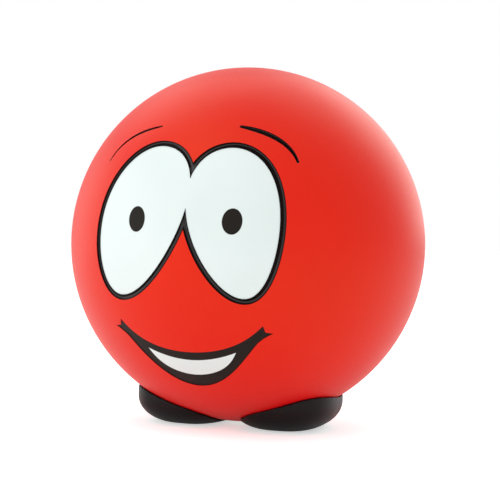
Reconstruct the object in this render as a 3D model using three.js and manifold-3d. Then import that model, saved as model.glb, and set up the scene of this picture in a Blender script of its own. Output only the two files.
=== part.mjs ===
// A squeezable stress ball: a round foam head with a moulded cartoon face, standing on two soft feet.
// Millimetres, +Z up, the face looks along -Y. The origin is on the ground under the middle of the ball.
// Left and right are those of a person who looks at the face: left is -X.
import * as THREE from 'three';
import { mergeVertices } from 'three/addons/utils/BufferGeometryUtils.js';
import Module from 'manifold-3d';

const wasm = await Module();
wasm.setup();

// Driving dimensions: the ball and its layers.
const BALL_RADIUS = 35;
const BALL_LIFT = 0.3; // the ball clears the ground by this much and stands on its feet
const BALL_CENTRE_HEIGHT = BALL_RADIUS + BALL_LIFT;
const SKIN_THICKNESS = 2;
const GAP = 0.3; // clearance kept between neighbouring pieces
const GATE_RADIUS = 4; // the trimmed pour gate of the foam, at the bottom of the ball
const GATE_DEPTH = 5;

// The face is sunk into the skin in the direction of Y, as the mould opens.
const POCKET_DEPTH = 1;
const INLAY_RECESS = 0.25; // how far the face's colours lie below the skin
const INLAY_THICKNESS = POCKET_DEPTH - INLAY_RECESS - GAP;

// Face drawing, in X and Z from the middle of the ball.
// The two eyes are egg shapes that meet in the middle, and the left one is wider and leans more.
const LEFT_EYE = { x: 9.4, z: 3.8, inner: 9.4, outer: 8, halfHeight: 13.2, slant: -3.2, topHeavy: 0.14 };
const RIGHT_EYE = { x: 9.3, z: 3.9, inner: 8.2, outer: 7.6, halfHeight: 13.2, slant: -1.8, topHeavy: 0.2 };
const OUTLINE_WIDTH = 0.9;
const PUPIL = { x: 9.1, z: 4.3, halfWidth: 1.75, halfHeight: 2.4 };
const BROW = [[7.5, 21.3], [10.5, 20.8], [16.2, 19.6], [18.4, 14.9]]; // its ends and handles
const BROW_WIDTH = { ends: 0.45, middle: 0.95, inwards: 0.8 };
const LIP = { z: -19.4, halfWidth: 13.8, rise: 5.4 };
const MOUTH_CORNER = { width: 2, flare: 1.1, tipX: 15.3, notch: 0.5 };
const MOUTH_BELLY = { halfWidth: 12.6, depth: 4.5, power: 1.45 };
const TEETH = { halfWidth: 8.5, topZ: -20.9, topRise: 1.8, bottomZ: -23.7 };

// Feet: soft buns with wide round lower edges and a small flat sole, whose tops take the ball's shape.
const FOOT = { x: 9.4, y: -1, halfWidth: 10.4, halfLength: 12.6, squareness: 2.7, toeOut: 4 };
const FOOT_EDGE = { inset: 6.8, height: 5.2 };
const FEET_APART = 0.8;
const FOOT_BLANK_HEIGHT = 12; // before the ball's shape is taken out of the top

const BALL_SEGMENTS = 48;
const CORE_SEGMENTS = 32;
const ROUND_SEGMENTS = 24;
const OUTLINE_STEPS = 40;
const EDGE_STEPS = 5;
const CORNER_LIMIT = 2; // the most that a moved edge's corner runs out, in multiples of the move

const FINISHES = {
  red: { color: 0xe4281f, roughness: 0.45, metalness: 0 },
  black: { color: 0x1b1715, roughness: 0.3, metalness: 0 },
  white: { color: 0xf2f7f5, roughness: 0.4, metalness: 0 },
  foam: { color: 0xe9dcc0, roughness: 0.9, metalness: 0 },
};

// A closed geometry as a solid that can be cut and joined.
function solidOf(geometry) {
  const bare = geometry.clone();
  bare.deleteAttribute('normal');
  bare.deleteAttribute('uv');
  const merged = mergeVertices(bare, 1e-5);
  const vertProperties = new Float32Array(merged.attributes.position.array);
  const triVerts = new Uint32Array(merged.index.array);
  return new wasm.Manifold(new wasm.Mesh({ numProp: 3, vertProperties, triVerts }));
}

// A solid as a named mesh with its own material.
function meshOf(name, solid, finish) {
  const { vertProperties, triVerts } = solid.getMesh();
  const geometry = new THREE.BufferGeometry();
  geometry.setAttribute('position', new THREE.BufferAttribute(vertProperties, 3));
  geometry.setIndex(new THREE.BufferAttribute(triVerts, 1));
  geometry.computeVertexNormals();
  const mesh = new THREE.Mesh(geometry, new THREE.MeshStandardMaterial(FINISHES[finish]));
  mesh.name = name;
  return mesh;
}

// A ball with its poles on Z, its middle at the given height.
function ballSolid(radius, segments = BALL_SEGMENTS, height = 0) {
  const ball = new THREE.SphereGeometry(radius, segments, segments / 2).rotateX(Math.PI / 2);
  return solidOf(ball.translate(0, 0, height));
}

// An upright cylinder through the bottom of the ball, from bottomZ up to topZ.
function gateSolid(radius, bottomZ, topZ) {
  const cylinder = new THREE.CylinderGeometry(radius, radius, topZ - bottomZ, ROUND_SEGMENTS);
  return solidOf(cylinder.rotateX(Math.PI / 2).translate(0, 0, (bottomZ + topZ) / 2));
}

// A drawing in X and Z with its edge moved outwards by grow, or inwards where grow is negative.
function grown(points, grow) {
  const outwards = THREE.ShapeUtils.isClockWise(points) ? -1 : 1;
  return points.map((point, index) => {
    const before = point.clone().sub(points.at(index - 1)).normalize();
    const after = points[(index + 1) % points.length].clone().sub(point).normalize();
    const along = before.clone().add(after).normalize();
    const corner = Math.max(along.dot(before), 1 / CORNER_LIMIT);
    const normal = new THREE.Vector2(along.y, -along.x);
    return point.clone().addScaledVector(normal, (outwards * grow) / corner);
  });
}

// A drawing carried straight out through the front of the ball.
function frontPrism(points, grow = 0) {
  const shape = new THREE.Shape(grown(points, grow));
  const options = { depth: BALL_RADIUS * 1.2, bevelEnabled: false };
  return solidOf(new THREE.ExtrudeGeometry(shape, options).rotateX(Math.PI / 2));
}

// The other side's drawing: the same points seen in a mirror.
function mirrored(points) {
  return points.map((point) => new THREE.Vector2(-point.x, point.y)).reverse();
}

// The right half of a drawing that is the same on both sides, from its top to its bottom, made whole.
function bothSides(rightHalf) {
  return [...rightHalf, ...mirrored(rightHalf.slice(1, -1))];
}

// One egg-shaped eye, drawn for the right side.
function eyeOutline(eye) {
  return Array.from({ length: OUTLINE_STEPS }, (_, step) => {
    const angle = (2 * Math.PI * step) / OUTLINE_STEPS;
    const across = Math.cos(angle);
    const up = Math.sin(angle);
    const halfWidth = across < 0 ? eye.inner : eye.outer;
    const x = eye.x + halfWidth * across * (1 + eye.topHeavy * up) + eye.slant * up;
    return new THREE.Vector2(x, eye.z + eye.halfHeight * up);
  });
}

// Both eyes, which run together in the middle.
function eyePrism(grow) {
  return frontPrism(mirrored(eyeOutline(LEFT_EYE)), grow).add(frontPrism(eyeOutline(RIGHT_EYE), grow));
}

function pupilOutline() {
  const oval = new THREE.EllipseCurve(PUPIL.x, PUPIL.z, PUPIL.halfWidth, PUPIL.halfHeight);
  return oval.getPoints(OUTLINE_STEPS / 2).slice(1);
}

// The right brow: a curved stroke, widest in its inner half and thin at both ends.
function browOutline() {
  const spine = new THREE.CubicBezierCurve(...BROW.map(([x, z]) => new THREE.Vector2(x, z)));
  const steps = OUTLINE_STEPS / 4;
  const edge = (side) => Array.from({ length: steps + 1 }, (_, step) => {
    const t = step / steps;
    const swell = Math.sin(Math.PI * t ** BROW_WIDTH.inwards);
    const half = (BROW_WIDTH.ends + (BROW_WIDTH.middle - BROW_WIDTH.ends) * swell) / 2;
    const along = spine.getTangent(t);
    return spine.getPoint(t).add(new THREE.Vector2(along.y * side * half, -along.x * side * half));
  });
  return [...edge(1), ...edge(-1).reverse()];
}

// Height of the smile's upper edge.
function lipTop(x) {
  const u = x / LIP.halfWidth;
  return LIP.z + LIP.rise * (0.68 * u ** 2 + 0.32 * u ** 4);
}

// Height of the smile's lower edge: a deep belly in the middle and flared corners.
function lipBottom(x) {
  const belly = Math.max(0, 1 - (x / MOUTH_BELLY.halfWidth) ** 2) ** MOUTH_BELLY.power;
  const past = Math.max(0, x - MOUTH_BELLY.halfWidth) / (MOUTH_CORNER.tipX - MOUTH_BELLY.halfWidth);
  return lipTop(x) - MOUTH_CORNER.width - MOUTH_BELLY.depth * belly - MOUTH_CORNER.flare * past ** 2;
}

function mouthOutline() {
  const steps = OUTLINE_STEPS / 2;
  const top = Array.from({ length: steps + 1 }, (_, step) => {
    const x = (LIP.halfWidth * step) / steps;
    return new THREE.Vector2(x, lipTop(x));
  });
  const bottom = Array.from({ length: steps + 1 }, (_, step) => {
    const x = MOUTH_CORNER.tipX * (1 - step / steps);
    return new THREE.Vector2(x, lipBottom(x));
  });
  const notch = top.at(-1).clone().lerp(bottom[0], 0.5).subScalar(MOUTH_CORNER.notch);
  return bothSides([...top, notch, ...bottom]);
}

function teethOutline() {
  const steps = OUTLINE_STEPS / 4;
  const fractions = Array.from({ length: steps + 1 }, (_, step) => step / steps);
  const depth = TEETH.topZ + TEETH.topRise - TEETH.bottomZ;
  const point = (u, z) => new THREE.Vector2(TEETH.halfWidth * u, z);
  const top = fractions.map((u) => point(u, TEETH.topZ + TEETH.topRise * u ** 2));
  const bottom = fractions.slice(0, -1).reverse().map((u) => {
    return point(u, TEETH.bottomZ + depth * (0.69 * u ** 2 + 0.31 * u ** 6));
  });
  return bothSides([...top, ...bottom]);
}

// The colour that fills a drawing: a thin layer that follows the ball, just below its skin.
function inlay(prism) {
  const outer = BALL_RADIUS - INLAY_RECESS;
  return prism.intersect(ballSolid(outer)).subtract(ballSolid(outer - INLAY_THICKNESS));
}

// The room for a drawing, from the floor of its pocket outwards.
function pocket(prism) {
  return prism.subtract(ballSolid(BALL_RADIUS - POCKET_DEPTH));
}

function foamCore() {
  const core = ballSolid(BALL_RADIUS - SKIN_THICKNESS - GAP, CORE_SEGMENTS);
  const gate = gateSolid(GATE_RADIUS, -BALL_RADIUS + GAP, -BALL_RADIUS + GATE_DEPTH);
  return meshOf('foam_core', core.add(gate), 'foam');
}

function redSkin() {
  const shell = ballSolid(BALL_RADIUS).subtract(ballSolid(BALL_RADIUS - SKIN_THICKNESS, CORE_SEGMENTS));
  const gateHole = gateSolid(GATE_RADIUS + GAP, -BALL_RADIUS - GAP, -BALL_RADIUS + GATE_DEPTH);
  const drawings = [
    eyePrism(OUTLINE_WIDTH + GAP / 2),
    frontPrism(mouthOutline(), GAP / 2),
    frontPrism(browOutline(), GAP / 2),
    frontPrism(mirrored(browOutline()), GAP / 2),
  ];
  const pierced = shell.subtract(gateHole);
  return meshOf('red_skin', drawings.reduce((skin, prism) => skin.subtract(pocket(prism)), pierced), 'red');
}

function eyePieces() {
  const pupils = { left_pupil: mirrored(pupilOutline()), right_pupil: pupilOutline() };
  const outline = eyePrism(OUTLINE_WIDTH - GAP / 2).subtract(eyePrism(GAP));
  const windows = Object.values(pupils).map((points) => frontPrism(points, GAP / 2));
  const white = windows.reduce((solid, window) => solid.subtract(window), eyePrism(0));
  return [
    meshOf('eye_outline', inlay(outline), 'black'),
    meshOf('eye_white', inlay(white), 'white'),
    ...Object.entries(pupils).map(([name, points]) => {
      return meshOf(name, inlay(frontPrism(points, -GAP / 2)), 'black');
    }),
  ];
}

function browPieces() {
  return [
    meshOf('left_brow', inlay(frontPrism(mirrored(browOutline()), -GAP / 2)), 'black'),
    meshOf('right_brow', inlay(frontPrism(browOutline(), -GAP / 2)), 'black'),
  ];
}

function mouthPieces() {
  const lips = frontPrism(mouthOutline(), -GAP / 2).subtract(frontPrism(teethOutline(), GAP / 2));
  return [
    meshOf('mouth', inlay(lips), 'black'),
    meshOf('teeth', inlay(frontPrism(teethOutline(), -GAP / 2)), 'white'),
  ];
}

// The plan of a foot: an oval with squarer corners.
function footPlan() {
  const soften = (value) => Math.sign(value) * Math.abs(value) ** (2 / FOOT.squareness);
  return Array.from({ length: OUTLINE_STEPS }, (_, step) => {
    const angle = (2 * Math.PI * step) / OUTLINE_STEPS;
    const x = FOOT.halfWidth * soften(Math.cos(angle));
    return new THREE.Vector2(x, FOOT.halfLength * soften(Math.sin(angle)));
  });
}

// A foot in its place before it meets the ball: upright sides over a wide round lower edge.
function footBlank(side) {
  const blank = new THREE.ExtrudeGeometry(new THREE.Shape(footPlan()), {
    depth: FOOT_BLANK_HEIGHT - 2 * FOOT_EDGE.height,
    bevelThickness: FOOT_EDGE.height,
    bevelSize: FOOT_EDGE.inset,
    bevelOffset: -FOOT_EDGE.inset,
    bevelSegments: EDGE_STEPS,
  });
  blank.rotateZ(side * THREE.MathUtils.degToRad(FOOT.toeOut));
  return solidOf(blank.translate(side * FOOT.x, FOOT.y, FOOT_EDGE.height));
}

// A foot with its top cut to the ball, and its inner side cut clear of the other foot.
function foot(name, side) {
  const ball = ballSolid(BALL_RADIUS + GAP, BALL_SEGMENTS, BALL_CENTRE_HEIGHT);
  const otherSide = new THREE.BoxGeometry(BALL_RADIUS, BALL_RADIUS * 2, BALL_RADIUS * 2);
  otherSide.translate((-side * (BALL_RADIUS - FEET_APART)) / 2, 0, 0);
  return meshOf(name, footBlank(side).subtract(ball).subtract(solidOf(otherSide)), 'black');
}

const head = new THREE.Group();
head.position.z = BALL_CENTRE_HEIGHT;
head.add(foamCore(), redSkin(), ...eyePieces(), ...browPieces(), ...mouthPieces());

const group = new THREE.Group();
group.add(head, foot('left_foot', -1), foot('right_foot', 1));

export default group;
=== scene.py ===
"""A squeezable stress ball: a red foam head with a sunk cartoon face, on two soft black feet.

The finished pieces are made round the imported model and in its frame: metres, +Z up, the face looks along -Y.
Left and right are those of a person who looks at the face, so left is -X. The sizes of the drawings are in
millimetres, in X and Z from the middle of the ball, and each drawing is carried to the ball straight along Y.
"""
import logging
import math
from collections.abc import Callable, Iterator, Sequence
from contextlib import contextmanager
from dataclasses import dataclass
from enum import Enum

import bpy
import numpy as np
from mathutils import Matrix, Vector


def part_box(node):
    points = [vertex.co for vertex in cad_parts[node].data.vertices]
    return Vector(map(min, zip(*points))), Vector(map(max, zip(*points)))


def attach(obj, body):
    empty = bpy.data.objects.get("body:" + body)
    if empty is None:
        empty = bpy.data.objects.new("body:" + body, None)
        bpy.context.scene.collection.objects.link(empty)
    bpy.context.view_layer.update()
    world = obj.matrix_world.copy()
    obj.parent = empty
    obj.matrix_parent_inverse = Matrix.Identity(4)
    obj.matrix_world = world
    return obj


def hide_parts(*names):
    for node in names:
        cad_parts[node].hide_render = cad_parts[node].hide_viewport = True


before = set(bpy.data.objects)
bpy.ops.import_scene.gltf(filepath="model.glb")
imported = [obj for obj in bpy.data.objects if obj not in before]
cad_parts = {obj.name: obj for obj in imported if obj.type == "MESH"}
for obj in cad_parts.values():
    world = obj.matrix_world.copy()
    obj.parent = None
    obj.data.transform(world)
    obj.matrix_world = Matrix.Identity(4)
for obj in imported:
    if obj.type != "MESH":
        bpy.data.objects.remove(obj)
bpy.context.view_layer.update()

LOG = logging.getLogger("stress_ball")
MM = 0.001
BODY = "root"
PRISM_REACH = 1.2  # how far a drawing is carried out of the ball's middle, in ball radii
INWARDS = -1.0  # the side on which a wall gets its thickness
DISH_POWER = 2.5  # how square the floor of a sunk line is
PATCH_NOISE = {"Detail": 2.0, "Roughness": 0.5}
GRAIN_NOISE = {"Detail": 3.0, "Roughness": 0.6}

Object = bpy.types.Object
Outline = list[tuple[float, float]]


class Cut(Enum):
    """What a tool shape does to the piece that it meets."""

    AWAY = "DIFFERENCE"
    WITHIN = "INTERSECT"
    ONTO = "UNION"


class Grain(Enum):
    """How the skin of a finish is broken up."""

    PEEL = "the fine orange peel of a foam skin against its mould"
    BRUSHED_ON = "the soft waves of a thick coat of paint"
    OPEN_CELLS = "the cut open cells of bare foam"


class Crease(Enum):
    """The turn, in degrees, past which an edge stays sharp."""

    PRINT = 35.0
    LINE = 60.0
    FOAM = 80.0


CELL_SHARE = {Grain.PEEL: 0.45, Grain.OPEN_CELLS: 0.75}  # how much of the relief is cells, not noise


# --- Modelling ---------------------------------------------------------------------------------------------


def only(piece: Object) -> None:
    """Selects one object alone and makes it the active one.

    Args:
        piece: the object to select.
    """
    bpy.ops.object.select_all(action="DESELECT")
    piece.select_set(True)
    bpy.context.view_layer.objects.active = piece


@contextmanager
def editing(piece: Object) -> Iterator[None]:
    """Opens one object in edit mode with all of it selected, and closes it again.

    Args:
        piece: the object to edit.

    Returns:
        The block in which it is open.
    """
    only(piece)
    bpy.ops.object.mode_set(mode="EDIT")
    bpy.ops.mesh.select_all(action="SELECT")
    yield
    bpy.ops.object.mode_set(mode="OBJECT")


def turn_outwards(piece: Object) -> None:
    """Turns all faces of a closed shape outwards."""
    with editing(piece):
        bpy.ops.mesh.normals_make_consistent(inside=False)


def carry(piece: Object, place: Callable[[Vector], Vector]) -> None:
    """Moves every point of a primitive to its place.

    Args:
        piece: the primitive, added at the origin.
        place: gives a point's new place for the place that it has in the primitive.
    """
    for vertex in piece.data.vertices:
        vertex.co = place(vertex.co.copy())
    piece.data.update()


def apply_modifier(piece: Object, kind: str, **settings: object) -> None:
    """Adds a modifier to a piece and applies it.

    Args:
        piece: the piece.
        kind: the modifier's type.
        settings: the modifier's properties.
    """
    modifier = piece.modifiers.new(kind.lower(), kind)
    for name, value in settings.items():
        setattr(modifier, name, value)
    only(piece)
    bpy.ops.object.modifier_apply(modifier=modifier.name)


def cut(piece: Object, tool: Object, how: Cut) -> None:
    """Cuts or joins a piece with a tool shape, and takes the tool away.

    Args:
        piece: the piece that is changed.
        tool: the closed shape that it is cut by or joined with.
        how: what the tool does.
    """
    apply_modifier(piece, "BOOLEAN", operation=how.value, solver="EXACT", object=tool)
    bpy.data.objects.remove(tool, do_unlink=True)


def join(pieces: Sequence[Object]) -> Object:
    """Makes several separate shapes one object.

    Args:
        pieces: the shapes.

    Returns:
        The first of them, which holds them all.
    """
    only(pieces[0])
    for piece in pieces:
        piece.select_set(True)
    bpy.ops.object.join()
    return pieces[0]


@dataclass(frozen=True)
class Ball:
    """The ball's size and place, which every other piece is made to."""

    centre: Vector
    radius: float
    segments: int = 192

    @classmethod
    def from_frame(cls) -> "Ball":
        """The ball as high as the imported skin, from the rim of its gate hole to its top."""
        low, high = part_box("red_skin")
        return cls(centre=(low + high) / 2, radius=(high.z - low.z) / 2)

    def at(self, x: float, z: float, depth: float) -> Vector:
        """A point on the face's side of the ball.

        Args:
            x: millimetres to the right of the ball's middle.
            z: millimetres above it.
            depth: millimetres below the skin.

        Returns:
            The point, in metres, in the frame.
        """
        radius = self.radius / MM - depth
        y = -math.sqrt(radius**2 - x**2 - z**2)
        return self.centre + Vector((x, y, z)) * MM

    def solid(self, depth: float, segments: int | None = None) -> Object:
        """A full ball whose surface lies below the skin.

        Args:
            depth: millimetres below the skin, or above it where negative.
            segments: faces round the middle, where it isn't the ball's own number.

        Returns:
            The ball as a new object.
        """
        count = segments or self.segments
        bpy.ops.mesh.primitive_uv_sphere_add(
            segments=count, ring_count=count // 2, radius=self.radius - depth * MM, location=self.centre
        )
        ball = bpy.context.object
        bpy.ops.object.transform_apply(location=True, rotation=True, scale=True)
        return ball

    def front_layer(self, depth: float, thickness: float) -> Object:
        """A thin layer that follows the front of the ball.

        Args:
            depth: millimetres from the skin down to the layer.
            thickness: the layer's own, in millimetres.

        Returns:
            The layer as a new object.
        """
        layer = self.solid(depth)
        with editing(layer):
            bpy.ops.mesh.bisect(plane_co=self.centre, plane_no=(0, 1, 0), clear_outer=True)
        apply_modifier(layer, "SOLIDIFY", thickness=thickness * MM, offset=INWARDS)
        return layer

    def prism(self, outline: Outline) -> Object:
        """A drawing carried straight out through the front of the ball.

        Args:
            outline: its points in millimetres.

        Returns:
            The prism as a new object.
        """
        bpy.ops.mesh.primitive_circle_add(vertices=len(outline), radius=1.0, fill_type="NGON")
        prism = bpy.context.object
        for vertex, (x, z) in zip(prism.data.vertices, outline):
            vertex.co = self.centre + Vector((x * MM, 0.0, z * MM))
        with editing(prism):
            reach = -self.radius * PRISM_REACH
            bpy.ops.mesh.extrude_region_move(TRANSFORM_OT_translate={"value": (0.0, reach, 0.0)})
        turn_outwards(prism)
        return prism


# --- Finishes ----------------------------------------------------------------------------------------------


def linear(colour: str) -> tuple[float, float, float, float]:
    """An sRGB hex colour as the linear one that a shader takes.

    Args:
        colour: six hex digits after a hash.

    Returns:
        Red, green, blue and full cover.
    """
    parts = (int(colour[at : at + 2], 16) / 255 for at in (1, 3, 5))
    red, green, blue = (c / 12.92 if c <= 0.04045 else ((c + 0.055) / 1.055) ** 2.4 for c in parts)
    return red, green, blue, 1.0


def add_node(
    tree: bpy.types.NodeTree,
    kind: str,
    settings: dict[str, object] | None = None,
    values: dict[str | int, object] | None = None,
    links: dict[str | int, bpy.types.NodeSocket] | None = None,
) -> bpy.types.Node:
    """Adds a node with its settings and links.

    Args:
        tree: the material's or world's nodes.
        kind: the node's type.
        settings: the node's own properties.
        values: what its inputs hold.
        links: the outputs that lead to its inputs.

    Returns:
        The new node.
    """
    node = tree.nodes.new(kind)
    for name, value in (settings or {}).items():
        setattr(node, name, value)
    for name, value in (values or {}).items():
        node.inputs[name].default_value = value
    for name, socket in (links or {}).items():
        tree.links.new(socket, node.inputs[name])
    return node


@dataclass(frozen=True)
class Finish:
    """A moulded or painted surface, named for its real material and how it was made."""

    name: str
    slot: str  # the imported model's material slot
    colour: str
    drift: str  # the tone that the colour drifts to in soft patches
    roughness: float
    roughness_swing: float
    grain: Grain
    grain_mm: float
    grain_height_mm: float
    patch_mm: float = 14.0
    ior: float = 1.5
    coat: float = 0.0
    coat_roughness: float = 0.1
    sheen: float = 0.0
    gloss_tint: str = "#ffffff"

    def material(self) -> bpy.types.Material:
        """Makes the material with its nodes, which read Object coordinates.

        Returns:
            The material, made once for each finish.
        """
        made = bpy.data.materials.get(self.name)
        if made:
            return made
        made = bpy.data.materials.new(self.name)
        made.use_nodes = True
        tree = made.node_tree
        tree.nodes.clear()
        place = add_node(tree, "ShaderNodeTexCoord").outputs["Object"]
        patches = add_node(
            tree,
            "ShaderNodeTexNoise",
            values={"Scale": 1 / (self.patch_mm * MM), **PATCH_NOISE},
            links={"Vector": place},
        ).outputs["Fac"]
        colour = add_node(
            tree,
            "ShaderNodeMix",
            {"data_type": "RGBA"},
            {"A": linear(self.colour), "B": linear(self.drift)},
            {"Factor": patches},
        ).outputs["Result"]
        height = self.height(tree, place)
        roughness = add_node(
            tree,
            "ShaderNodeMapRange",
            values={
                "To Min": self.roughness - self.roughness_swing,
                "To Max": self.roughness + self.roughness_swing,
            },
            links={"Value": height},
        ).outputs["Result"]
        bump = add_node(
            tree,
            "ShaderNodeBump",
            values={"Strength": 1.0, "Distance": self.grain_height_mm * MM},
            links={"Height": height},
        ).outputs["Normal"]
        shader = add_node(
            tree,
            "ShaderNodeBsdfPrincipled",
            values={
                "IOR": self.ior,
                "Coat Weight": self.coat,
                "Coat Roughness": self.coat_roughness,
                "Sheen Weight": self.sheen,
                "Specular Tint": linear(self.gloss_tint),
            },
            links={"Base Color": colour, "Roughness": roughness, "Normal": bump},
        )
        add_node(tree, "ShaderNodeOutputMaterial", links={"Surface": shader.outputs["BSDF"]})
        return made

    def height(self, tree: bpy.types.NodeTree, place: bpy.types.NodeSocket) -> bpy.types.NodeSocket:
        """Adds the surface's relief.

        Args:
            tree: the material's nodes.
            place: the coordinates.

        Returns:
            The relief from 0 to 1.
        """
        scale = 1 / (self.grain_mm * MM)
        fine = add_node(
            tree,
            "ShaderNodeTexNoise",
            values={"Scale": scale, **GRAIN_NOISE},
            links={"Vector": place},
        ).outputs["Fac"]
        if self.grain is Grain.BRUSHED_ON:
            return fine
        cells = add_node(
            tree,
            "ShaderNodeTexVoronoi",
            {"feature": "F1" if self.grain is Grain.OPEN_CELLS else "SMOOTH_F1"},
            {"Scale": scale, "Randomness": 1.0},
            {"Vector": place},
        ).outputs["Distance"]
        return add_node(
            tree,
            "ShaderNodeMix",
            {"data_type": "FLOAT"},
            {"Factor": CELL_SHARE[self.grain]},
            {"A": fine, "B": cells},
        ).outputs["Result"]


# Self-skinning polyurethane foam, pigmented red and moulded: satin, with a fine orange peel. The real peel,
# about 0.2 mm, is too fine to show, so it is drawn at 0.5 mm. Its shine is weaker than the foam's IOR of 1.5
# would give, and is tinted yellow, so that it lifts the red towards orange.
RED_FOAM_SKIN = Finish(
    name="red_moulded_polyurethane_skin",
    slot="red_skin",
    colour="#f00a18",
    drift="#ea0816",
    roughness=0.43,
    roughness_swing=0.05,
    grain=Grain.PEEL,
    grain_mm=0.5,
    grain_height_mm=0.035,
    ior=1.43,
    gloss_tint="#d4ff88",
)

# The same foam pigmented black: satin, and dark wherever nothing bright is reflected.
BLACK_FOAM_SKIN = Finish(
    name="black_moulded_polyurethane_skin",
    slot="black_foam",
    colour="#0d0a0b",
    drift="#141011",
    roughness=0.42,
    roughness_swing=0.06,
    grain=Grain.PEEL,
    grain_mm=0.5,
    grain_height_mm=0.03,
    ior=1.3,
)

# Flexible gloss enamel, run into the sunk lines: the wet-looking black lines that catch the light.
GLOSS_BLACK = Finish(
    name="gloss_black_enamel",
    slot="black_enamel",
    colour="#0f0807",
    drift="#17100e",
    roughness=0.24,
    roughness_swing=0.05,
    grain=Grain.BRUSHED_ON,
    grain_mm=1.5,
    grain_height_mm=0.03,
    ior=1.3,
    coat=0.6,
)

# The same enamel printed flat, for the pupils and the smile: a warm black with less shine.
SATIN_BLACK = Finish(
    name="satin_black_enamel",
    slot="black_enamel",
    colour="#15100a",
    drift="#1d160f",
    roughness=0.45,
    roughness_swing=0.05,
    grain=Grain.BRUSHED_ON,
    grain_mm=1.2,
    grain_height_mm=0.015,
    ior=1.3,
)

# White enamel over the red foam: bright, a little cool, and smooth.
WHITE_ENAMEL = Finish(
    name="white_flexible_enamel",
    slot="white_enamel",
    colour="#f1faf8",
    drift="#e6f4f1",
    roughness=0.38,
    roughness_swing=0.05,
    grain=Grain.BRUSHED_ON,
    grain_mm=1.2,
    grain_height_mm=0.015,
)

# Bare polyurethane foam where the pour gate was cut off: matt cream with open cells of about 0.6 mm.
BARE_FOAM = Finish(
    name="cut_open_cell_foam",
    slot="core_foam",
    colour="#e9dcc0",
    drift="#d8c59f",
    roughness=0.9,
    roughness_swing=0.05,
    grain=Grain.OPEN_CELLS,
    grain_mm=0.6,
    grain_height_mm=0.25,
    patch_mm=5.0,
    sheen=0.2,
)


def dress(
    piece: Object, name: str, finish: Finish, nodes: Sequence[str], crease: Crease = Crease.PRINT
) -> Object:
    """Names a finished piece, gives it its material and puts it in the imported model's place.

    Args:
        piece: the piece, with its place in its mesh.
        name: the piece's name.
        finish: what it is made of.
        nodes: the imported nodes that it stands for.
        crease: which edges stay sharp.

    Returns:
        The same piece.
    """
    piece.name = name
    piece.data.name = name
    piece.data.materials.clear()
    piece.data.materials.append(finish.material())
    only(piece)
    bpy.ops.object.shade_smooth_by_angle(angle=math.radians(crease.value))
    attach(piece, BODY)
    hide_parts(*nodes)
    LOG.info("%s: %d faces, %s", name, len(piece.data.polygons), finish.name)
    return piece


# --- The face's drawings -----------------------------------------------------------------------------------


def mirrored(outline: Outline) -> Outline:
    """The other side's drawing, run round the same way."""
    return [(-x, z) for x, z in reversed(outline)]


def both_sides(right_half: Outline) -> Outline:
    """The right half of an even drawing, from its top to its bottom, made whole."""
    return right_half + mirrored(right_half[1:-1])


@dataclass(frozen=True)
class Egg:
    """One eye's edge: an egg that leans and is wider at its top, drawn for the right side."""

    x: float
    z: float
    inner: float
    outer: float
    half_height: float
    slant: float
    top_heavy: float
    side: int  # 1 for the right eye, -1 for the left one
    small_turn: float = 1e-4  # radians, to measure the edge's direction

    def plain_edge(self, angles: np.ndarray) -> np.ndarray:
        """The edge before it is moved outwards or mirrored.

        Args:
            angles: where on the egg, anticlockwise from its outer side.

        Returns:
            One row of x and z for each angle.
        """
        across, up = np.cos(angles), np.sin(angles)
        half_width = np.where(across < 0, self.inner, self.outer)
        x = self.x + half_width * across * (1 + self.top_heavy * up) + self.slant * up
        return np.stack((x, self.z + self.half_height * up), axis=1)

    def edge(self, angles: np.ndarray, grow: float) -> np.ndarray:
        """The edge moved outwards.

        Args:
            angles: where on the egg, anticlockwise from its outer side.
            grow: millimetres outwards.

        Returns:
            One row of x and z for each angle.
        """
        along = self.plain_edge(angles + self.small_turn) - self.plain_edge(angles - self.small_turn)
        along /= np.linalg.norm(along, axis=1, keepdims=True)
        outwards = np.stack((along[:, 1], -along[:, 0]), axis=1)
        return (self.plain_edge(angles) + grow * outwards) * (self.side, 1)


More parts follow.
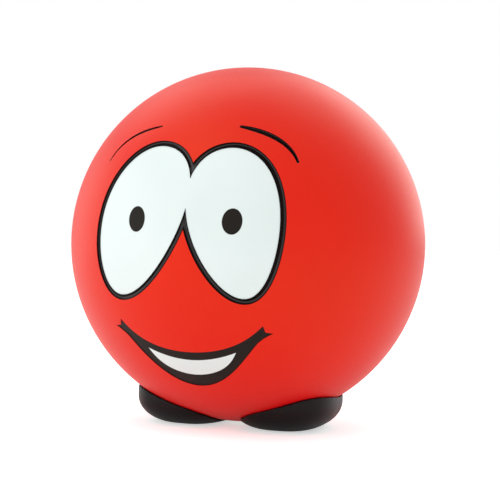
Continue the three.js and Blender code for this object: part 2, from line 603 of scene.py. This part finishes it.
@dataclass
class Eyes:
    """Two eyes that run together: one white patch, one sunk black line round both, and two pupils."""

    ball: Ball
    left: Egg = Egg(9.4, 4.0, 9.4, 8.2, 13.5, -3.2, 0.14, -1)
    right: Egg = Egg(9.3, 4.0, 8.2, 7.6, 13.3, -1.8, 0.2, 1)
    pupil: tuple[float, float, float, float] = (9.1, 4.2, 1.75, 2.3)  # x, z, half width, half height
    line_width: float = 1.0
    line_edge_depth: float = 0.07
    line_depth: float = 0.5
    line_floor: float = 0.9
    white_depth: float = 0.14
    pupil_depth: float = 0.1
    thickness: float = 0.6
    steps: int = 140  # points along one eye's part of the edge
    search_steps: int = 4000  # points along an egg's inner side, to find where the two cross
    dish_steps: int = 9
    pupil_clearance: float = 0.03

    def notches(self, grow: float) -> dict[int, tuple[float, float]]:
        """Where the two eggs' edges cross, at the top and at the bottom.

        Args:
            grow: millimetres by which both edges are moved outwards.

        Returns:
            For each side, the angles of the upper and the lower crossing on its own egg.
        """
        angles = np.linspace(math.pi / 2, 3 * math.pi / 2, self.search_steps)
        edges = {egg.side: egg.edge(angles, grow)[::-1] for egg in (self.left, self.right)}
        lowest = max(edge[0, 1] for edge in edges.values())
        highest = min(edge[-1, 1] for edge in edges.values())
        heights = np.linspace(lowest, highest, 2 * self.search_steps)
        inner = {side: np.interp(heights, edge[:, 1], edge[:, 0]) for side, edge in edges.items()}
        shared = heights[inner[-1] > inner[1]]
        return {
            side: tuple(np.interp((shared[-1], shared[0]), edge[:, 1], angles[::-1]))
            for side, edge in edges.items()
        }

    def edge(self, grow: float) -> Outline:
        """The edge of both eyes together, from the upper notch round the right eye and back by the left.

        Args:
            grow: millimetres outwards.

        Returns:
            Its points, always as many.
        """
        notches = self.notches(grow)
        paths = {}
        for egg in (self.left, self.right):
            upper, lower = notches[egg.side]
            paths[egg.side] = egg.edge(np.linspace(upper, lower - 2 * math.pi, self.steps), grow)
        ends = (paths[1][[0, -1]] + paths[-1][[0, -1]]) / 2
        paths[1][[0, -1]] = ends
        points = np.concatenate((paths[1], paths[-1][-2:0:-1]))
        return [(float(x), float(z)) for x, z in points]

    def pupil_edge(self, grow: float = 0.0) -> Outline:
        """The right pupil's oval.

        Args:
            grow: millimetres outwards.

        Returns:
            Its points, once round.
        """
        x, z, half_width, half_height = self.pupil
        angles = np.linspace(0, 2 * math.pi, self.steps // 2, endpoint=False)
        return [
            (x + (half_width + grow) * math.cos(a), z + (half_height + grow) * math.sin(a)) for a in angles
        ]

    def section(self) -> list[tuple[float, float]]:
        """The line's cross-section: a dish between its two edges, and its flat underside.

        Returns:
            Pairs of distance from the eyes' edge and depth, in millimetres, once round.
        """
        dish = []
        for across in np.linspace(1, 0, self.dish_steps):
            sunk = 1 - abs(2 * across - 1) ** DISH_POWER
            dish.append((self.line_width * across, self.line_edge_depth + self.line_depth * sunk))
        return [*dish, (0.0, self.line_floor), (self.line_width, self.line_floor)]

    def build_line(self) -> Object:
        """Makes the black line as a ring whose cross-section is a dish.

        Returns:
            The line.
        """
        section = self.section()
        edges = [self.edge(distance) for distance, _ in section]
        around, across = len(edges[0]), len(section)
        major, minor = 1.0, 0.25
        bpy.ops.mesh.primitive_torus_add(
            major_segments=around, minor_segments=across, major_radius=major, minor_radius=minor
        )
        line = bpy.context.object

        def place(point: Vector) -> Vector:
            """Carries a point of the ring to the eyes' edge.

            Args:
                point: its place in the plain ring.

            Returns:
                Its place on the ball.
            """
            along = round(math.atan2(point.y, point.x) / (2 * math.pi) * around) % around
            turn = math.atan2(point.z, math.hypot(point.x, point.y) - major)
            row = round(turn / (2 * math.pi) * across) % across
            return self.ball.at(*edges[row][along], section[row][1])

        carry(line, place)
        turn_outwards(line)
        return dress(line, "eye_outline_line", GLOSS_BLACK, ["eye_outline"], Crease.LINE)

    def build(self) -> list[Object]:
        """Makes the line, the white and the pupils.

        Returns:
            The four pieces.
        """
        white = self.ball.prism(self.edge(0.0))
        for outline in (self.pupil_edge(), mirrored(self.pupil_edge())):
            cut(white, self.ball.prism(outline), Cut.AWAY)
        cut(white, self.ball.front_layer(self.white_depth, self.thickness), Cut.WITHIN)
        pieces = [self.build_line(), dress(white, "eye_white_patch", WHITE_ENAMEL, ["eye_white"])]
        oval = self.pupil_edge(-self.pupil_clearance)
        outlines = {"left_pupil": mirrored(oval), "right_pupil": oval}
        for node, outline in outlines.items():
            pupil = self.ball.prism(outline)
            cut(pupil, self.ball.front_layer(self.pupil_depth, self.thickness), Cut.WITHIN)
            pieces.append(dress(pupil, f"{node}_oval", SATIN_BLACK, [node]))
        return pieces


@dataclass
class Brows:
    """Two brows: curved black strokes, widest in their inner half and thin at both ends."""

    ball: Ball
    spine: tuple[tuple[float, float], ...] = ((7.5, 21.3), (10.5, 20.8), (16.2, 19.6), (18.4, 14.9))
    end_width: float = 0.45
    middle_width: float = 0.95
    left_share: float = 0.5  # the left one is a hairline
    right_share: float = 0.85
    inwards: float = 0.8
    end_rise: float = 12.0  # the floor rises to the skin over this part of the half length at each end
    edge_depth: float = 0.06
    depth: float = 0.42
    floor: float = 0.85
    steps: int = 48
    across_steps: int = 8

    def point(self, side: int, along: float, across: float) -> tuple[float, float]:
        """A point of one brow's stroke.

        Args:
            side: 1 for the right one, -1 for the left one.
            along: from 0 at its inner end to 1 at its outer end.
            across: from -1 at its lower edge to 1 at its upper edge.

        Returns:
            Its x and z in millimetres.
        """
        t, s = along, 1 - along
        ends = [np.array(p) for p in self.spine]
        middle = s**3 * ends[0] + 3 * s * s * t * ends[1] + 3 * s * t * t * ends[2] + t**3 * ends[3]
        ahead = s * s * (ends[1] - ends[0]) + 2 * s * t * (ends[2] - ends[1]) + t * t * (ends[3] - ends[2])
        ahead /= np.linalg.norm(ahead)
        swell = math.sin(math.pi * t**self.inwards)
        share = self.left_share if side < 0 else self.right_share
        half = share * (self.end_width + (self.middle_width - self.end_width) * swell) / 2
        x, z = middle + np.array((-ahead[1], ahead[0])) * across * half
        return float(x) * side, float(z)

    def edge(self, side: int) -> Outline:
        """One brow's edge, once round."""
        along = np.linspace(0, 1, self.steps)
        return [self.point(side, t, 1) for t in along] + [self.point(side, t, -1) for t in along[::-1]]

    def build_stroke(self, node: str, side: int) -> Object:
        """Makes one brow as a dished strip.

        Args:
            node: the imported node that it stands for.
            side: 1 for the right one, -1 for the left one.

        Returns:
            The brow.
        """
        bpy.ops.mesh.primitive_grid_add(
            x_subdivisions=self.steps, y_subdivisions=self.across_steps, size=2.0
        )
        stroke = bpy.context.object

        def place(point: Vector) -> Vector:
            """Carries a point of the flat strip to the brow.

            Args:
                point: its place in the plain strip, from -1 to 1 both ways.

            Returns:
                Its place on the ball.
            """
            x, z = self.point(side, (point.x + 1) / 2, point.y)
            ends = min(1.0, (1 - abs(point.x)) * self.end_rise)
            sunk = (1 - abs(point.y) ** DISH_POWER) * ends
            return self.ball.at(x, z, self.edge_depth + self.depth * sunk)

        carry(stroke, place)
        with editing(stroke):
            floor = (self.floor - self.depth) * MM
            bpy.ops.mesh.extrude_region_move(TRANSFORM_OT_translate={"value": (0.0, floor, 0.0)})
        turn_outwards(stroke)
        return dress(stroke, f"{node}_stroke", GLOSS_BLACK, [node], Crease.LINE)

    def build(self) -> list[Object]:
        """Makes both brows."""
        return [self.build_stroke("left_brow", -1), self.build_stroke("right_brow", 1)]


@dataclass
class Mouth:
    """A wide smile: black lips with flared corners, and one white band of teeth in them."""

    ball: Ball
    lip_z: float = -19.4
    half_width: float = 13.8
    rise: float = 5.4
    lip_curve: tuple[float, float] = (0.68, 0.32)  # shares of the square and the fourth power
    corner_width: float = 2.0
    corner_flare: float = 1.1
    tip_x: float = 15.3
    notch: float = 0.5
    belly_half_width: float = 12.6
    belly_depth: float = 4.5
    belly_power: float = 1.45
    teeth_half_width: float = 8.5
    teeth_top: float = -20.9
    teeth_rise: float = 1.8
    teeth_bottom: float = -23.7
    teeth_curve: tuple[float, float] = (0.69, 0.31)  # shares of the square and the sixth power
    depth: float = 0.12
    thickness: float = 0.6
    steps: int = 60

    def lip_top(self, x: float) -> float:
        """Height of the smile's upper edge."""
        u = x / self.half_width
        return self.lip_z + self.rise * (self.lip_curve[0] * u**2 + self.lip_curve[1] * u**4)

    def lip_bottom(self, x: float) -> float:
        """Height of the smile's lower edge: a deep belly in the middle and flared corners.

        Args:
            x: millimetres from the middle, on the right side.

        Returns:
            The height in millimetres.
        """
        belly = max(0.0, 1 - (x / self.belly_half_width) ** 2) ** self.belly_power
        past = max(0.0, x - self.belly_half_width) / (self.tip_x - self.belly_half_width)
        return self.lip_top(x) - self.corner_width - self.belly_depth * belly - self.corner_flare * past**2

    def edge(self) -> Outline:
        """The smile's edge.

        Returns:
            Its points, once round.
        """
        top = [(x, self.lip_top(x)) for x in np.linspace(0, self.half_width, self.steps)]
        bottom = [(x, self.lip_bottom(x)) for x in np.linspace(self.tip_x, 0, self.steps)]
        notch = tuple((a + b) / 2 - self.notch for a, b in zip(top[-1], bottom[0]))
        return both_sides([*top, notch, *bottom])

    def teeth_edge(self) -> Outline:
        """The edge of the teeth.

        Returns:
            Its points, once round.
        """
        height = self.teeth_top + self.teeth_rise - self.teeth_bottom
        shares = np.linspace(0, 1, self.steps // 2)
        top = [(self.teeth_half_width * u, self.teeth_top + self.teeth_rise * u**2) for u in shares]
        square, sixth = self.teeth_curve
        bottom = [
            (self.teeth_half_width * u, self.teeth_bottom + height * (square * u**2 + sixth * u**6))
            for u in shares[-2::-1]
        ]
        return both_sides([*top, *bottom])

    def build(self) -> list[Object]:
        """Makes the lips and the teeth.

        Returns:
            The two pieces.
        """
        lips = self.ball.prism(self.edge())
        cut(lips, self.ball.prism(self.teeth_edge()), Cut.AWAY)
        cut(lips, self.ball.front_layer(self.depth, self.thickness), Cut.WITHIN)
        teeth = self.ball.prism(self.teeth_edge())
        cut(teeth, self.ball.front_layer(self.depth, self.thickness), Cut.WITHIN)
        return [
            dress(lips, "smile_lips", SATIN_BLACK, ["mouth"]),
            dress(teeth, "smile_teeth", WHITE_ENAMEL, ["teeth"]),
        ]


# --- The ball and its feet ---------------------------------------------------------------------------------


@dataclass
class Head:
    """The foam core and the red skin round it, with pockets for the face and a hole for the pour gate."""

    ball: Ball
    pockets: Sequence[Outline]
    skin_thickness: float = 2.0
    pocket_depth: float = 1.0
    gate_radius: float = 4.0
    gate_depth: float = 5.0
    gate_clearance: float = 0.15
    gate_recess: float = 0.3
    gate_edge: float = 0.4
    gate_edge_steps: int = 4
    gate_edge_turn: float = 1.0  # radians: only the stub's two rims turn by more
    round_segments: int = 96

    def gate(self, radius: float, below: float) -> Object:
        """An upright cylinder through the bottom of the ball.

        Args:
            radius: its radius in millimetres.
            below: how far it reaches below the ball's lowest point, in millimetres.

        Returns:
            The cylinder.
        """
        height = (self.gate_depth + below) * MM
        lowest = self.ball.centre.z - self.ball.radius - below * MM
        bpy.ops.mesh.primitive_cylinder_add(
            vertices=self.round_segments,
            radius=radius * MM,
            depth=height,
            location=(0, 0, lowest + height / 2),
        )
        bpy.ops.object.transform_apply(location=True, rotation=True, scale=True)
        return bpy.context.object

    def build_core(self) -> Object:
        """Makes the foam core with the stub of its pour gate.

        Returns:
            The core.
        """
        core = self.ball.solid(self.skin_thickness + self.gate_clearance, self.round_segments)
        stub = self.gate(self.gate_radius, -self.gate_recess)
        apply_modifier(
            stub,
            "BEVEL",
            width=self.gate_edge * MM,
            segments=self.gate_edge_steps,
            limit_method="ANGLE",
            angle_limit=self.gate_edge_turn,
        )
        cut(core, stub, Cut.ONTO)
        dress(core, "foam_core_ball", BARE_FOAM, ["foam_core"])
        return core

    def build_skin(self) -> Object:
        """Makes the red skin: a hollow shell, cut by the face's drawings and the gate.

        Returns:
            The skin.
        """
        skin = self.ball.solid(0.0)
        apply_modifier(skin, "SOLIDIFY", thickness=self.skin_thickness * MM, offset=INWARDS)
        drawings = join([self.ball.prism(outline) for outline in self.pockets])
        cut(drawings, self.ball.solid(self.pocket_depth), Cut.AWAY)
        cut(skin, drawings, Cut.AWAY)
        cut(skin, self.gate(self.gate_radius + self.gate_clearance, self.gate_clearance), Cut.AWAY)
        dress(skin, "ball_skin", RED_FOAM_SKIN, ["red_skin"])
        return skin

    def build(self) -> list[Object]:
        """Makes the core and the skin."""
        return [self.build_core(), self.build_skin()]


@dataclass
class Foot:
    """A soft bun with a wide round lower edge, a small flat sole and a top that takes the ball's shape."""

    ball: Ball
    node: str
    side: int
    x: float = 9.4
    y: float = -1.0
    half_width: float = 10.4
    half_length: float = 12.6
    squareness: float = 2.7
    toe_out: float = 4.0
    edge_inset: float = 6.8
    edge_height: float = 5.2
    height: float = 12.0
    apart: float = 0.8
    clearance: float = 0.12
    bands: tuple[float, ...] = (0.12, 0.5, 0.6, 0.92)  # where the sole, edge, side and top edge end
    around: int = 128
    rings: int = 80
    cell: float = 0.22  # the size of the even faces that the cut edges are softened on
    soften_factor: float = 0.5
    soften_steps: int = 8

    def profile(self, rise: float) -> tuple[float, float, float]:
        """The bun's upright profile.

        Args:
            rise: from 0 at the middle of the sole to 1 at the middle of the top.

        Returns:
            How far out of the middle, from 0 to 1, and the inset and the height in millimetres.
        """
        sole, lower, side, upper = self.bands
        if rise < sole:
            return rise / sole, self.edge_inset, 0.0
        if rise < lower:
            turn = (rise - sole) / (lower - sole) * math.pi / 2
            return 1.0, self.edge_inset * (1 - math.sin(turn)), self.edge_height * (1 - math.cos(turn))
        if rise < side:
            share = (rise - lower) / (side - lower)
            return 1.0, 0.0, self.edge_height + share * (self.height - 2 * self.edge_height)
        if rise < upper:
            turn = (rise - side) / (upper - side) * math.pi / 2
            top = self.height - self.edge_height * (1 - math.sin(turn))
            return 1.0, self.edge_inset * (1 - math.cos(turn)), top
        return (1 - rise) / (1 - upper), self.edge_inset, self.height

    def build(self) -> Object:
        """Makes the foot.

        Returns:
            The foot.
        """
        bpy.ops.mesh.primitive_uv_sphere_add(segments=self.around, ring_count=self.rings, radius=1.0)
        foot = bpy.context.object
        middle = Vector((self.side * self.x, self.y, 0.0))
        toe_out = Matrix.Rotation(math.radians(self.side * self.toe_out), 3, "Z")
        power = 2 / self.squareness

        def place(point: Vector) -> Vector:
            """Carries a point of a round ball to the bun.

            Args:
                point: its place on the round ball.

            Returns:
                Its place on the bun.
            """
            out, inset, height = self.profile(math.acos(max(-1.0, min(1.0, -point.z))) / math.pi)
            angle = math.atan2(point.y, point.x)
            across, along = math.cos(angle), math.sin(angle)
            x = math.copysign(abs(across) ** power, across) * (self.half_width - inset) * out
            y = math.copysign(abs(along) ** power, along) * (self.half_length - inset) * out
            return (toe_out @ Vector((x, y, height)) + middle) * MM

        carry(foot, place)
        cut(foot, self.ball.solid(-self.clearance), Cut.AWAY)
        with editing(foot):
            inner = (self.side * self.apart / 2 * MM, 0, 0)
            bpy.ops.mesh.bisect(plane_co=inner, plane_no=(self.side, 0, 0), use_fill=True, clear_inner=True)
        apply_modifier(foot, "REMESH", mode="VOXEL", voxel_size=self.cell * MM)
        apply_modifier(foot, "SMOOTH", factor=self.soften_factor, iterations=self.soften_steps)
        dress(foot, f"{self.node}_bun", BLACK_FOAM_SKIN, [self.node], Crease.FOAM)
        return foot


# --- The studio --------------------------------------------------------------------------------------------


@dataclass(frozen=True)
class SoftBox:
    """A square lamp that faces the ball."""

    name: str
    towards: tuple[float, float, float]  # right, up and towards the camera
    watts: float


@dataclass
class Studio:
    """The camera, a pale floor, a white surround and soft lamps."""

    ball: Ball
    azimuth: float = 20.2
    elevation: float = 0.5
    roll: float = 1.7
    distance: float = 0.28
    lens: float = 101.6
    shift: tuple[float, float] = (0.0036, -0.0112)
    floor_radius: float = 4.0
    floor_segments: int = 128
    surround: float = 0.72  # what the white surround gives the ball
    floor_glow: float = 0.12  # what the floor gives the ball
    floor_shine: float = 0.55  # what it shows
    lamp_distance: float = 0.5
    lamp_width: float = 0.36
    lamps: tuple[SoftBox, ...] = (
        SoftBox("key_box", (-0.45, 0.75, 0.5), 0.4),
        SoftBox("left_box", (-0.9, 0.0, 0.45), 0.33),
        SoftBox("left_rim_box", (-0.85, 0.1, -0.5), 0.36),
        SoftBox("upper_left_rim_box", (-0.4, 0.8, -0.45), 0.37),
        SoftBox("upper_right_rim_box", (0.3, 0.8, -0.5), 0.32),
        SoftBox("right_rim_box", (0.547, 0.376, -0.748), 0.67),
    )

    def axes(self) -> tuple[Vector, Vector, Vector]:
        """The directions of a level camera.

        Returns:
            Its right, its up and its back, as unit vectors in the frame.
        """
        turn, tip = math.radians(self.azimuth), math.radians(self.elevation)
        right = Vector((math.cos(turn), math.sin(turn), 0.0))
        back = Vector((math.sin(turn) * math.cos(tip), -math.cos(turn) * math.cos(tip), math.sin(tip)))
        return right, back.cross(right), back

    def add_camera(self) -> None:
        """Adds the camera and makes it the scene's own."""
        right, up, back = self.axes()
        roll = math.radians(self.roll)
        across = right * math.cos(roll) + up * math.sin(roll)
        upright = up * math.cos(roll) - right * math.sin(roll)
        bpy.ops.object.camera_add(location=self.ball.centre + back * self.distance)
        camera = bpy.context.object
        camera.rotation_euler = Matrix((across, upright, back)).transposed().to_euler()
        camera.data.lens = self.lens
        camera.data.shift_x, camera.data.shift_y = self.shift
        bpy.context.scene.camera = camera

    def add_lamps(self) -> None:
        """Adds the lamps, each turned to the ball."""
        right, up, back = self.axes()
        for box in self.lamps:
            towards = (right * box.towards[0] + up * box.towards[1] + back * box.towards[2]).normalized()
            place = self.ball.centre + towards * self.lamp_distance
            bpy.ops.object.light_add(type="AREA", location=place)
            lamp = bpy.context.object
            lamp.name = box.name
            lamp.rotation_euler = towards.to_track_quat("Z", "Y").to_euler()
            lamp.data.size = self.lamp_width
            lamp.data.energy = box.watts

    def add_floor(self) -> None:
        """Adds the floor, a pale matt sheet that is lit from below and lights the ball less than it shows."""
        bpy.ops.mesh.primitive_circle_add(
            vertices=self.floor_segments, radius=self.floor_radius, fill_type="NGON"
        )
        floor = bpy.context.object
        floor.name = "studio_floor"
        material = bpy.data.materials.new("white_paper")
        material.use_nodes = True
        tree = material.node_tree
        tree.nodes.clear()
        paper = add_node(
            tree,
            "ShaderNodeBsdfDiffuse",
            values={"Color": linear("#f4f4f4")},
        ).outputs["BSDF"]
        seen = add_node(tree, "ShaderNodeLightPath").outputs["Is Camera Ray"]
        strength = add_node(
            tree,
            "ShaderNodeMapRange",
            values={"To Min": self.floor_glow, "To Max": self.floor_shine},
            links={"Value": seen},
        ).outputs["Result"]
        glow = add_node(tree, "ShaderNodeEmission", links={"Strength": strength}).outputs["Emission"]
        sheet = add_node(tree, "ShaderNodeAddShader", links={0: paper, 1: glow}).outputs["Shader"]
        add_node(tree, "ShaderNodeOutputMaterial", links={"Surface": sheet})
        floor.data.materials.append(material)

    def add_surround(self) -> None:
        """Adds a white surround, which lights the ball less than it shows, as a far white wall does."""
        world = bpy.data.worlds.new("studio")
        bpy.context.scene.world = world
        world.use_nodes = True
        tree = world.node_tree
        tree.nodes.clear()
        white = linear("#ffffff")
        fill = add_node(tree, "ShaderNodeBackground", values={"Color": white, "Strength": self.surround})
        wall = add_node(tree, "ShaderNodeBackground", values={"Color": white, "Strength": 1.0})
        seen = add_node(tree, "ShaderNodeLightPath").outputs["Is Camera Ray"]
        links = {0: seen, 1: fill.outputs["Background"], 2: wall.outputs["Background"]}
        surround = add_node(tree, "ShaderNodeMixShader", links=links)
        add_node(tree, "ShaderNodeOutputWorld", links={"Surface": surround.outputs["Shader"]})

    def build(self) -> None:
        """Sets up the whole studio."""
        self.add_camera()
        self.add_lamps()
        self.add_floor()
        self.add_surround()
        bpy.context.scene.view_settings.view_transform = "Standard"


def main() -> None:
    """Builds the studio, then the face, the ball and the feet."""
    logging.basicConfig(level=logging.INFO, format="%(name)s %(message)s")
    bpy.ops.object.select_all(action="DESELECT")
    ball = Ball.from_frame()
    Studio(ball).build()
    eyes, brows, mouth = Eyes(ball), Brows(ball), Mouth(ball)
    pockets = [eyes.edge(eyes.line_width), brows.edge(-1), brows.edge(1), mouth.edge()]
    pieces = [*Head(ball, pockets).build(), *eyes.build(), *brows.build(), *mouth.build()]
    pieces += [Foot(ball, "left_foot", -1).build(), Foot(ball, "right_foot", 1).build()]
    LOG.info("%d pieces", len(pieces))


if __name__ == "__main__":
    main()
